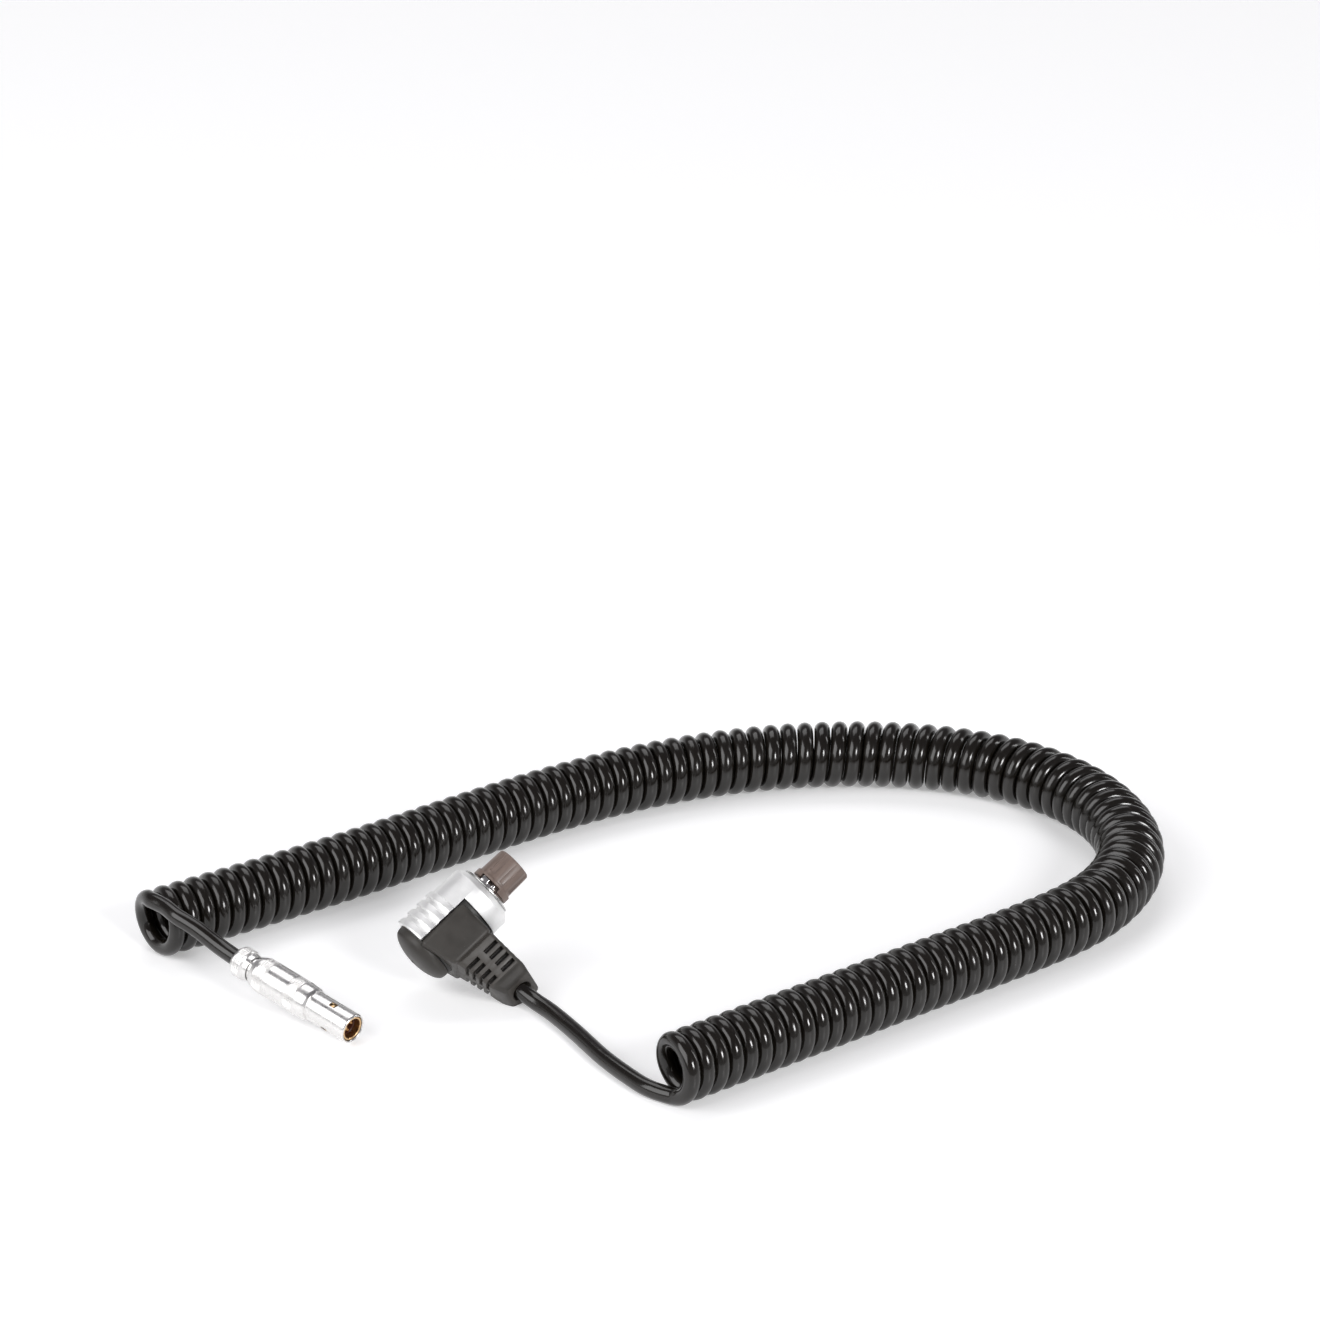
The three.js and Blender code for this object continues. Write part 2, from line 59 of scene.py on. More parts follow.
# ---------------------------------------------------------------- where things are
# The plugs' frames and the cord's route are the CAD model's, apart from the first point of the
# camera lead. The cord is 0.1 mm thicker than in the CAD model, and the strain relief 0.5 mm longer.
CORD_DIAMETER = 3
COIL_DIAMETER = 12.4
COIL_TURNS = 105.5
POINTS_PER_TURN = 40

CAMERA_PLUG_AT = (7.68, 3.63, 8.4)
TIP_DIRECTION = (0.709, 0.454, 0.539)
EXIT_DIRECTION = (0.705, -0.458, -0.541)
EXIT_HEIGHT = 6.9
RELIEF_END = 17

PUSH_PLUG_AT = (-24.46, 3.9, 6.37)
PUSH_DIRECTION = (0.748, -0.649, -0.135)
PUSH_FACE = (0, -0.91, 0.41)

# the middle of the curly part; a separate fitting program worked these points out, and the ones
# near the two ends were then moved by hand
COIL_ROUTE = [
    (-40.6, 17.5), (-24, 28.7), (-7.4, 40.4), (8.4, 52.4), (24.3, 64.2), (41.1, 74.7), (59.3, 82.4),
    (78.7, 86.2), (98.4, 85.2), (116.6, 77.8), (129.4, 63), (133.1, 43.8), (125.8, 25.6),
    (111.7, 12.1), (95.8, 0.1), (79.9, -12.1), (64.7, -23.6), (50.2, -34.5),
]
PLUG_LEAD = [
    (-24.67, 4.07, 6.41), (-27.9, 6.9, 7.3), (-31.5, 9.4, 9), (-33.8, 10.9, 9.85), (-35.8, 12.4, 10.4),
]
PLUG_LEAD_TO_COIL = [(-38, 15, 10.85)]
CAMERA_LEAD = [
    (24.8, -1.2, 2.72), (26.8, -2.7, 1.85), (29.8, -6.2, 1.5), (34, -13.1, 1.46),
    (38.6, -21.5, 1.46), (42.8, -27.8, 1.46), (46.4, -32.2, 1.46),
]


def plug_frame(at, axis, toward):
    """The matrix that takes a plug's own millimetres to the row's metres."""
    z = Vector(axis).normalized()
    x = Vector(toward)
    x = (x - z * x.dot(z)).normalized()
    y = z.cross(x)
    turn = Matrix((x, y, z)).transposed().to_4x4()
    return Matrix.Scale(MM, 4) @ Matrix.Translation(at) @ turn


CAMERA_PLUG = plug_frame(CAMERA_PLUG_AT, TIP_DIRECTION, EXIT_DIRECTION)
PUSH_PLUG = plug_frame(PUSH_PLUG_AT, PUSH_DIRECTION, PUSH_FACE)


# ---------------------------------------------------------------- camera
CAMERA_AT = (48.28, -733.47, 399.3)
CAMERA_TILT = 65.5  # degrees up from looking straight down
CAMERA_LENS = 131.7
SENSOR_WIDTH = 36


def make_camera():
    data = bpy.data.cameras.new("camera")
    data.lens = CAMERA_LENS
    data.sensor_width = SENSOR_WIDTH
    data.clip_end = 20
    camera = bpy.data.objects.new("camera", data)
    camera.location = Vector(CAMERA_AT) * MM
    camera.rotation_euler = (math.radians(CAMERA_TILT), 0, 0)
    bpy.context.scene.collection.objects.link(camera)
    bpy.context.scene.camera = camera


make_camera()


# ---------------------------------------------------------------- materials
class Graph:
    """A node tree that is built by calls; add() returns the new node."""

    def __init__(self, tree):
        self.tree = tree

    def add(self, kind, inputs=None, **settings):
        node = self.tree.nodes.new(kind)
        for name, value in settings.items():
            setattr(node, name, value)
        for name, value in (inputs or {}).items():
            self.feed(node.inputs[name], value)
        return node

    def feed(self, socket, value):
        if isinstance(value, bpy.types.NodeSocket):
            self.tree.links.new(value, socket)
        else:
            socket.default_value = value

    def math(self, operation, *values, clamp=False):
        node = self.add("ShaderNodeMath", operation=operation, use_clamp=clamp)
        for socket, value in zip(node.inputs, values):
            self.feed(socket, value)
        return node.outputs[0]


def new_material(name, color, roughness, metallic=0.0, **shader_values):
    """A principled material; returns it with its graph and its shader node."""
    material = bpy.data.materials.new(name)
    material.use_nodes = True
    material.diffuse_color = (*color, 1)
    graph = Graph(material.node_tree)
    shader = next(n for n in graph.tree.nodes if n.type == "BSDF_PRINCIPLED")
    shader.inputs["Base Color"].default_value = (*color, 1)
    shader.inputs["Roughness"].default_value = roughness
    shader.inputs["Metallic"].default_value = metallic
    for key, value in shader_values.items():
        shader.inputs[key.replace("_", " ")].default_value = value
    return material, graph, shader


def local_coordinates(graph, plug):
    """Object coordinates in a plug's own frame, in millimetres."""
    back = plug.inverted()
    coordinates = graph.add("ShaderNodeTexCoord").outputs["Object"]
    mapping = graph.add("ShaderNodeMapping", {"Vector": coordinates})
    mapping.inputs["Location"].default_value = back.to_translation()
    mapping.inputs["Rotation"].default_value = back.to_3x3().normalized().to_euler()
    mapping.inputs["Scale"].default_value = (1 / MM,) * 3
    return mapping.outputs[0]


def noise(graph, vector, scale, detail=3.0, roughness=0.5, dimensions="3D"):
    node = graph.add("ShaderNodeTexNoise", noise_dimensions=dimensions)
    node.inputs["Scale"].default_value = scale
    node.inputs["Detail"].default_value = detail
    node.inputs["Roughness"].default_value = roughness
    graph.feed(node.inputs["W" if dimensions == "1D" else "Vector"], vector)
    return node.outputs[0]


def remap(graph, value, low, high, to_low, to_high):
    inputs = {"Value": value, "From Min": low, "From Max": high, "To Min": to_low, "To Max": to_high}
    return graph.add("ShaderNodeMapRange", inputs).outputs[0]


def blend_colors(graph, share, first, second):
    node = graph.add("ShaderNodeMix", data_type="RGBA")
    graph.feed(node.inputs[0], share)
    graph.feed(node.inputs[6], first if not isinstance(first, tuple) else (*first, 1))
    graph.feed(node.inputs[7], second if not isinstance(second, tuple) else (*second, 1))
    return node.outputs[2]


def bump(graph, shader, height, distance, strength=1.0):
    node = graph.add("ShaderNodeBump", {"Height": height, "Strength": strength, "Distance": distance})
    graph.feed(shader.inputs["Normal"], node.outputs[0])


def moulded_pvc(name, plug, color, lighter):
    """Matte moulding: fine grain, faint clouds and lighter rubbed edges."""
    material, graph, shader = new_material(name, color, 0.5)
    local = local_coordinates(graph, plug)
    clouds = noise(graph, local, 0.35, 4)
    grain = noise(graph, local, 7.0, 2)
    specks = remap(graph, noise(graph, local, 3.1, 1), 0.74, 0.78, 0, 1)
    pointed = graph.add("ShaderNodeNewGeometry").outputs["Pointiness"]
    rubbed = remap(graph, pointed, 0.52, 0.6, 0, 0.55)
    base = blend_colors(graph, remap(graph, clouds, 0.35, 0.7, 0, 0.35), color, lighter)
    base = blend_colors(graph, rubbed, base, lighter)
    base = blend_colors(graph, graph.math("MULTIPLY", specks, 0.12), base, (0.2, 0.19, 0.18))
    graph.feed(shader.inputs["Base Color"], base)
    graph.feed(shader.inputs["Roughness"], remap(graph, clouds, 0.3, 0.7, 0.42, 0.56))
    bump(graph, shader, grain, 0.00002, 0.6)
    return material


def cord_jacket(name):
    """Glossy near-black jacket with a faint waviness and a little dust."""
    color = (0.0068, 0.0054, 0.004)
    material, graph, shader = new_material(name, color, 0.16, Specular_IOR_Level=0.5)
    place = graph.add("ShaderNodeTexCoord").outputs["Object"]
    waves = noise(graph, place, 420, 2)
    smears = noise(graph, place, 160, 4)
    dust = remap(graph, noise(graph, place, 1900, 2), 0.66, 0.8, 0, 0.12)
    base = blend_colors(graph, dust, color, (0.12, 0.11, 0.1))
    graph.feed(shader.inputs["Base Color"], base)
    graph.feed(shader.inputs["Roughness"], remap(graph, smears, 0.3, 0.7, 0.12, 0.22))
    bump(graph, shader, waves, 0.0001, 0.3)
    return material


def turned_metal(name, plug, color, roughness, rings, ring_depth, smudge):
    """Turned metal: fine rings about the plug's axis, and roughness that a thumb has smudged."""
    material, graph, shader = new_material(name, color, roughness, metallic=1.0)
    local = local_coordinates(graph, plug)
    along = graph.add("ShaderNodeSeparateXYZ", {"Vector": local}).outputs[2]
    cuts = noise(graph, along, rings, 3, 0.6, "1D")
    smudges = noise(graph, local, 0.8, 4)
    tone = tuple(c * 0.88 for c in color)
    toned = blend_colors(graph, remap(graph, cuts, 0.3, 0.7, 0, 0.3), color, tone)
    graph.feed(shader.inputs["Base Color"], toned)
    graph.feed(
        shader.inputs["Roughness"],
        remap(graph, smudges, 0.3, 0.75, roughness - smudge, roughness + smudge),
    )
    bump(graph, shader, cuts, ring_depth, 0.5)
    return material


def plain_moulding(name, plug, color, roughness):
    """Smooth engineering plastic with flow marks along the plug."""
    material, graph, shader = new_material(name, color, roughness)
    local = local_coordinates(graph, plug)
    stretched = graph.add("ShaderNodeMapping", {"Vector": local})
    stretched.inputs["Scale"].default_value = (1, 1, 0.15)
    flow = noise(graph, stretched.outputs[0], 1.6, 4)
    lighter = tuple(min(1, c * 1.5 + 0.01) for c in color)
    streaked = blend_colors(graph, remap(graph, flow, 0.35, 0.7, 0, 0.6), color, lighter)
    graph.feed(shader.inputs["Base Color"], streaked)
    graph.feed(shader.inputs["Roughness"], remap(graph, flow, 0.3, 0.7, roughness - 0.08, roughness + 0.08))
    bump(graph, shader, noise(graph, local, 9.0, 2), 0.00001, 0.5)
    return material


SHELL_BLACK, SHELL_RUBBED = (0.019, 0.0162, 0.0132), (0.05, 0.044, 0.038)
ALUMINIUM, NICKEL, CAMERA_NICKEL = (0.93, 0.93, 0.925), (0.76, 0.75, 0.74), (0.84, 0.83, 0.82)
STEEL, GOLD = (0.55, 0.55, 0.54), (0.66, 0.45, 0.24)
TIP_BROWN, HOLDER_BROWN = (0.135, 0.098, 0.082), (0.06, 0.017, 0.008)
HIDDEN_BLACK, WIRE_RED = (0.016, 0.015, 0.014), (0.35, 0.03, 0.02)

MATERIALS = {
    "moulded_shell": moulded_pvc("moulded_shell", CAMERA_PLUG, SHELL_BLACK, SHELL_RUBBED),
    "hidden_moulding": plain_moulding("hidden_moulding", CAMERA_PLUG, HIDDEN_BLACK, 0.5),
    "cord_jacket": cord_jacket("cord_jacket"),
    "satin_aluminium": turned_metal("satin_aluminium", CAMERA_PLUG, ALUMINIUM, 0.5, 6, 0.000003, 0.04),
    "bright_nickel": turned_metal("bright_nickel", PUSH_PLUG, NICKEL, 0.28, 5, 0.000003, 0.05),
    "camera_plug_nickel": turned_metal("camera_plug_nickel", CAMERA_PLUG, CAMERA_NICKEL, 0.2, 7, 0.000005, 0.05),
    "spring_steel": turned_metal("spring_steel", CAMERA_PLUG, STEEL, 0.3, 6, 0.00001, 0.05),
    "gold_brass": turned_metal("gold_brass", PUSH_PLUG, GOLD, 0.3, 6, 0.000004, 0.05),
    "contact_insert": plain_moulding("contact_insert", CAMERA_PLUG, TIP_BROWN, 0.42),
    "insulator": plain_moulding("insulator", PUSH_PLUG, HOLDER_BROWN, 0.35),
    "wire_jacket": plain_moulding("wire_jacket", CAMERA_PLUG, WIRE_RED, 0.45),
}


# ---------------------------------------------------------------- cord
def through(points, steps):
    """A smooth line through the points, with `steps` samples to each stretch."""
    points = [Vector(p) for p in points]
    ends = [points[0] * 2 - points[1], *points, points[-1] * 2 - points[-2]]
    line = []
    for a, b, c, d in zip(ends, ends[1:], ends[2:], ends[3:]):
        for i in range(steps):
            t = i / steps
            line.append(
                b + (c - a) * (t / 2)
                + (a * 2 - b * 5 + c * 4 - d) * (t * t / 2)
                + (b * 3 - a - c * 3 + d) * (t ** 3 / 2)
            )
    return line + [points[-1]]


def evenly(line, spacing):
    """The same line with its samples a fixed distance apart."""
    travelled = [0.0]
    for a, b in zip(line, line[1:]):
        travelled.append(travelled[-1] + (b - a).length)
    count = max(2, round(travelled[-1] / spacing))
    spaced, i = [], 0
    for k in range(count + 1):
        at = travelled[-1] * k / count
        while i < len(line) - 2 and travelled[i + 1] < at:
            i += 1
        stretch = travelled[i + 1] - travelled[i]
        spaced.append(line[i].lerp(line[i + 1], (at - travelled[i]) / stretch))
    return spaced


def tangents(line):
    return [(line[min(i + 1, len(line) - 1)] - line[max(i - 1, 0)]).normalized() for i in range(len(line))]


def smoothed(line, window):
    """The line with each sample averaged over up to `window` samples each way; its ends stay."""
    last = len(line) - 1
    soft = []
    for i in range(len(line)):
        reach = min(i, last - i, window)
        soft.append(sum(line[i - reach:i + reach + 1], Vector()) / (2 * reach + 1))
    return soft


def bend_rates(line, window):
    """How sharply the line turns at each sample, averaged over `window` samples each way."""
    along = tangents(line)
    step = (line[1] - line[0]).length
    rates = []
    for i in range(len(line)):
        low, high = max(i - window, 0), min(i + window, len(line) - 1)
        rates.append(along[low].angle(along[high]) / ((high - low) * step))
    return rates


ROUTE_SPACING = 0.1
ROUTE_SMOOTHING = 100  # samples each way
BEND_SMOOTHING = 90


def helix():
    """The cord's own centreline in the curly part: its turns touch on the inside of each bend.

    What smoothing takes off the route is smoothed too and put back, so that the loop keeps its width.
    """
    radius = (COIL_DIAMETER - CORD_DIAMETER) / 2
    spacing = ROUTE_SPACING
    line = evenly(through([(x, y, COIL_DIAMETER / 2) for x, y in COIL_ROUTE], 60), spacing)
    soft = smoothed(line, ROUTE_SMOOTHING)
    lost = smoothed([a - b for a, b in zip(line, soft)], ROUTE_SMOOTHING)
    line = evenly([a + b for a, b in zip(soft, lost)], spacing)
    along = tangents(line)
    turn_rates = [1 - radius * bend for bend in bend_rates(line, BEND_SMOOTHING)]
    total = sum(turn_rates)
    up = Vector((0, 0, 1))
    turned, phases = 0.0, []
    for rate in turn_rates:
        phases.append(turned * COIL_TURNS / total)
        turned += rate
    count = round(COIL_TURNS * POINTS_PER_TURN)
    points, i = [], 0
    for k in range(count + 1):
        phase = min(k / POINTS_PER_TURN, phases[-1])
        while i < len(phases) - 2 and phases[i + 1] < phase:
            i += 1
        share = (phase - phases[i]) / (phases[i + 1] - phases[i])
        middle = line[i].lerp(line[i + 1], share)
        side = up.cross(along[i].lerp(along[i + 1], share).normalized())
        angle = phase * TURN
        points.append(middle + (up * math.cos(angle) + side * math.sin(angle)) * radius)
    return points


def make_cord():
    inside = 0.8  # how far the cord runs on into each plug
    push_inside = PUSH_PLUG @ Vector((0, 0, inside)) / MM
    camera_exit = CAMERA_PLUG @ Vector((RELIEF_END, 0, EXIT_HEIGHT)) / MM
    camera_inside = CAMERA_PLUG @ Vector((RELIEF_END - inside, 0, EXIT_HEIGHT)) / MM
    coil = helix()
    guide = round(POINTS_PER_TURN * 0.12)
    first = [push_inside, *PLUG_LEAD, *PLUG_LEAD_TO_COIL, coil[0], coil[guide]]
    last = [coil[-1 - guide], coil[-1], *reversed(CAMERA_LEAD), camera_inside]
    steps = 10
    start = through(first, steps)[: (len(first) - 2) * steps]
    end = through(last, steps)[steps + 1:]
    line = [*evenly(start, 0.6), *coil, *evenly(end, 0.6)]
    curve = bpy.data.curves.new("cord", "CURVE")
    curve.dimensions = "3D"
    curve.bevel_depth = CORD_DIAMETER / 2 * MM
    curve.bevel_resolution = 6
    curve.use_fill_caps = True
    spline = curve.splines.new("POLY")
    spline.points.add(len(line) - 1)
    for point, place in zip(spline.points, line):
        point.co = (*(place * MM), 1)
    spline.use_smooth = True
    cord = bpy.data.objects.new("cord", curve)
    bpy.context.scene.collection.objects.link(cord)
    curve.materials.append(MATERIALS["cord_jacket"])
    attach(cord, "cable")
    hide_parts("curly_cord", "lead_camera_end", "lead_plug_end")


make_cord()


# ---------------------------------------------------------------- shapes, in a plug's own millimetres
def rounded(outline, steps=4):
    """The outline with each corner (r, z, cut) eased over `cut` each way."""
    points = []
    for i, corner in enumerate(outline):
        here = Vector(corner[:2])
        if len(corner) < 3:
            points.append(here)
            continue
        before = Vector(outline[i - 1][:2])
        after = Vector(outline[(i + 1) % len(outline)][:2])
        start = here + (before - here).normalized() * corner[2]
        end = here + (after - here).normalized() * corner[2]
        for k in range(steps + 1):
            t = k / steps
            points.append(start.lerp(here, t).lerp(here.lerp(end, t), t))
    return points


def band(radius, low, high, count):
    """Points along a straight stretch of an outline, for a knurl to be pressed into."""
    return [(radius, low + (high - low) * i / count) for i in range(count + 1)]


def new_object(name, bm):
    bmesh.ops.recalc_face_normals(bm, faces=bm.faces)
    mesh = bpy.data.meshes.new(name)
    bm.to_mesh(mesh)
    bm.free()
    made = bpy.data.objects.new(name, mesh)
    bpy.context.scene.collection.objects.link(made)
    return made


def turned(name, outline, steps=128):
    """A piece turned about z; an outline that starts and ends on the axis is solid."""
    points = rounded(outline)
    bm = bmesh.new()
    rings = []
    for point in points:
        if point.x < 1e-9:
            rings.append([bm.verts.new((0, 0, point.y))] * steps)
        else:
            angles = (TURN * i / steps for i in range(steps))
            around = [(point.x * math.cos(a), point.x * math.sin(a), point.y) for a in angles]
            rings.append([bm.verts.new(place) for place in around])
    following = rings[1:] if points[0].x < 1e-9 else rings[1:] + rings[:1]
    for low, high in zip(rings, following):
        for i in range(steps):
            j = (i + 1) % steps
            corners = list(dict.fromkeys((low[i], low[j], high[j], high[i])))
            if len(corners) > 2:
                bm.faces.new(corners)
    return new_object(name, bm)


def loft(name, sections, steps=6):
    """Rounded boxes joined along x; each section is (x, low, high, half, corner, lean along x)."""
    bm = bmesh.new()
    rings = []
    for x, low, high, half, corner, lean in sections:
        ring = []
        for quarter in range(4):
            side = 1 if quarter in (0, 3) else -1
            level = 1 if quarter < 2 else -1
            for step in range(steps + 1):
                angle = (quarter + step / steps) * TURN / 4
                y = side * (half - corner) + corner * math.cos(angle)
                z = (low + high) / 2 + level * ((high - low) / 2 - corner) + corner * math.sin(angle)
                ring.append(bm.verts.new((x + lean * y, y, z)))
        rings.append(ring)
    count = len(rings[0])
    for near, far in zip(rings, rings[1:]):
        for i in range(count):
            j = (i + 1) % count
            bm.faces.new((near[i], near[j], far[j], far[i]))
    bm.faces.new(rings[0])
    bm.faces.new(rings[-1])
    return new_object(name, bm)


def box(low, high, soft=0.0):
    """A box between two corners, its edges rounded by `soft`."""
    bm = bmesh.new()
    bmesh.ops.create_cube(bm, size=1)
    low, high = Vector(low), Vector(high)
    bmesh.ops.scale(bm, vec=high - low, verts=bm.verts)
    bmesh.ops.translate(bm, vec=(low + high) / 2, verts=bm.verts)
    if soft:
        bmesh.ops.bevel(bm, geom=bm.edges[:], offset=soft, segments=3, profile=0.5, affect="EDGES")
    return new_object("box", bm)


def turn(made, degrees, axis="Z", about=(0, 0, 0)):
    spin = Matrix.Rotation(math.radians(degrees), 4, axis)
    made.data.transform(Matrix.Translation(about) @ spin @ Matrix.Translation(-Vector(about)))
    return made


def bake(made):
    """Keeps what the object's modifiers make of it, and drops the modifiers."""
    bpy.context.view_layer.update()
    evaluated = made.evaluated_get(bpy.context.evaluated_depsgraph_get())
    mesh = bpy.data.meshes.new_from_object(evaluated)
    made.modifiers.clear()
    made.data = mesh
    return made


def combine(made, others, operation="DIFFERENCE", solver="MANIFOLD"):
    for other in others:
        change = made.modifiers.new("combine", "BOOLEAN")
        change.operation = operation
        change.solver = solver
        change.object = other
    bake(made)
    for other in others:
        bpy.data.objects.remove(other)
    return made


def soften(made, width, segments=2, angle=40):
    """Small rounds on the sharp edges."""
    change = made.modifiers.new("soften", "BEVEL")
    change.width = width
    change.segments = segments
    change.limit_method = "ANGLE"
    change.angle_limit = math.radians(angle)
    change.use_clamp_overlap = True
    return bake(made)


def settle(made, plug, body, slot, *nodes, material=None, sharp=34):
    """Takes a finished shape into the row's frame and makes it stand for its CAD nodes."""
    made.name = made.data.name = nodes[0] + "_shape"
    made.data.transform(plug)
    made.data.materials.clear()
    made.data.materials.append(material or MATERIALS[slot])
    made.data.shade_smooth()
    made.data.set_sharp_from_angle(angle=math.radians(sharp))
    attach(made, body)
    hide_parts(*nodes)


# ---------------------------------------------------------------- Geometry Nodes
def node_tree(name, sockets):
    """An empty tree with a geometry in and out, and the given (name, kind, value) inputs."""
    tree = bpy.data.node_groups.new(name, "GeometryNodeTree")
    tree.interface.new_socket("Geometry", in_out="INPUT", socket_type="NodeSocketGeometry")
    tree.interface.new_socket("Geometry", in_out="OUTPUT", socket_type="NodeSocketGeometry")
    for label, kind, value in sockets:
        tree.interface.new_socket(label, in_out="INPUT", socket_type=kind).default_value = value
    tree.interface.new_socket("Material", in_out="INPUT", socket_type="NodeSocketMaterial")
    return Graph(tree), tree.nodes.new("NodeGroupInput").outputs


def close_tree(graph, given, geometry):
    realized = graph.add("GeometryNodeRealizeInstances", {"Geometry": geometry}).outputs[0]
    painted = graph.add("GeometryNodeSetMaterial", {"Geometry": realized, "Material": given["Material"]})
    graph.add("NodeGroupOutput", {"Geometry": painted.outputs[0]})
    return graph.tree


def grow(made, tree, **values):
    """Adds the tree to an object with its inputs set."""
    change = made.modifiers.new(tree.name, "NODES")
    change.node_group = tree
    for item in tree.interface.items_tree:
        key = item.name.replace(" ", "_")
        if item.in_out == "INPUT" and key in values:
            change[item.identifier] = values[key]
    return made


def make_knurl_tree():
    """Presses grooves along and around a turned band, which leaves rows of small flat-topped studs."""
    number = "NodeSocketFloat"
    graph, given = node_tree("knurl", [
        ("Start", number, 0.0), ("End", number, 1.0), ("Around", number, 48.0),
        ("Spacing", number, 0.42), ("Depth", number, 0.1),
    ])
    position = graph.add("GeometryNodeInputPosition").outputs[0]
    place = graph.add("ShaderNodeSeparateXYZ", {"Vector": position}).outputs
    angle = graph.math("ARCTAN2", place[1], place[0])
    around = graph.math("MULTIPLY", graph.math("DIVIDE", angle, TURN), given["Around"])
    from_start = graph.math("SUBTRACT", place[2], given["Start"])
    along = graph.math("DIVIDE", from_start, given["Spacing"])

    def stud(value):
        centred = graph.math("ABSOLUTE", graph.math("SUBTRACT", graph.math("FRACT", value), 0.5))
        return graph.math("SUBTRACT", 1.0, graph.math("MULTIPLY", centred, 2.0))

    height = graph.math("MULTIPLY", graph.math("MINIMUM", stud(around), stud(along)), 2.4, clamp=True)
    to_end = graph.math("SUBTRACT", given["End"], place[2])
    inside = graph.math("MULTIPLY", graph.math("MINIMUM", from_start, to_end), 12.0, clamp=True)
    depth = graph.math("MULTIPLY", inside, given["Depth"])
    cut = graph.math("MULTIPLY", graph.math("SUBTRACT", height, 1.0), depth)
    outward = graph.add("ShaderNodeCombineXYZ", {"X": place[0], "Y": place[1]}).outputs[0]
    unit = graph.add("ShaderNodeVectorMath", {0: outward}, operation="NORMALIZE").outputs[0]
    shift = graph.add("ShaderNodeVectorMath", {0: unit}, operation="SCALE")
    graph.feed(shift.inputs["Scale"], cut)
    pressed = graph.add("GeometryNodeSetPosition", {
        "Geometry": given["Geometry"], "Offset": shift.outputs[0],
    })
    return close_tree(graph, given, pressed.outputs[0])


def make_slot_tree():
    """Cuts a row of equal box slots into a strain relief."""
    vector = "NodeSocketVector"
    graph, given = node_tree("relief_slots", [
        ("Count", "NodeSocketInt", 4), ("First", vector, (0, 0, 0)), ("Step", vector, (1.5, 0, 0)),
        ("Size", vector, (0.7, 1, 1)),
    ])
    line = graph.add("GeometryNodeMeshLine", {
        "Count": given["Count"], "Start Location": given["First"], "Offset": given["Step"],
    }, mode="OFFSET").outputs[0]
    cutter = graph.add("GeometryNodeMeshCube", {"Size": given["Size"]}).outputs[0]
    row = graph.add("GeometryNodeInstanceOnPoints", {"Points": line, "Instance": cutter}).outputs[0]
    cutters = graph.add("GeometryNodeRealizeInstances", {"Geometry": row}).outputs[0]
    cut = graph.add("GeometryNodeMeshBoolean", operation="DIFFERENCE", solver="MANIFOLD")
    graph.feed(cut.inputs["Mesh 1"], given["Geometry"])
    graph.feed(cut.inputs["Mesh 2"], cutters)
    return close_tree(graph, given, cut.outputs[0])


def make_spring_tree():
    """Coils a round wire into a compression spring that stands on z = 0."""
    number = "NodeSocketFloat"
    graph, given = node_tree("compression_spring", [
        ("Turns", number, 2.5), ("Radius", number, 4.9), ("Height", number, 1.0), ("Wire", number, 0.2),
    ])
    coil = graph.add("GeometryNodeCurveSpiral", {
        "Resolution": 72, "Rotations": given["Turns"], "Start Radius": given["Radius"],
        "End Radius": given["Radius"], "Height": given["Height"],
    }).outputs[0]
    section = graph.add("GeometryNodeCurvePrimitiveCircle", {
        "Resolution": 14, "Radius": given["Wire"],
    }).outputs[0]
    wire = graph.add("GeometryNodeCurveToMesh", {"Curve": coil, "Profile Curve": section, "Fill Caps": True})
    return close_tree(graph, given, wire.outputs[0])


KNURL = make_knurl_tree()
SLOTS = make_slot_tree()
SPRING = make_spring_tree()


# ---------------------------------------------------------------- camera plug
COLLAR_RADIUS = 6.2
COLLAR_LENGTH = 14.5
CORE_RADIUS = 5.65
BLOCK_FRONT = 9.7
BLOCK_LENGTH = 6.7
RELIEF_START = 7.2
MOUTH_AT = (15.2, 0.15, EXIT_HEIGHT)
MOUTH_LEAN = -12  # degrees


def relief_section(x, pinch=0.0, corner=0.9, lean=0.0):
    """The strain relief tapers evenly from the step; its end face leans the way the cord leaves."""
    share = (x - RELIEF_START) / (RELIEF_END - RELIEF_START)
    low, high, half = 1.7 + 2.0 * share, 9.7 + 0.4 * share, 6.2 - 2.5 * share
    return (x, low + pinch, high - pinch, half - pinch, corner, lean)


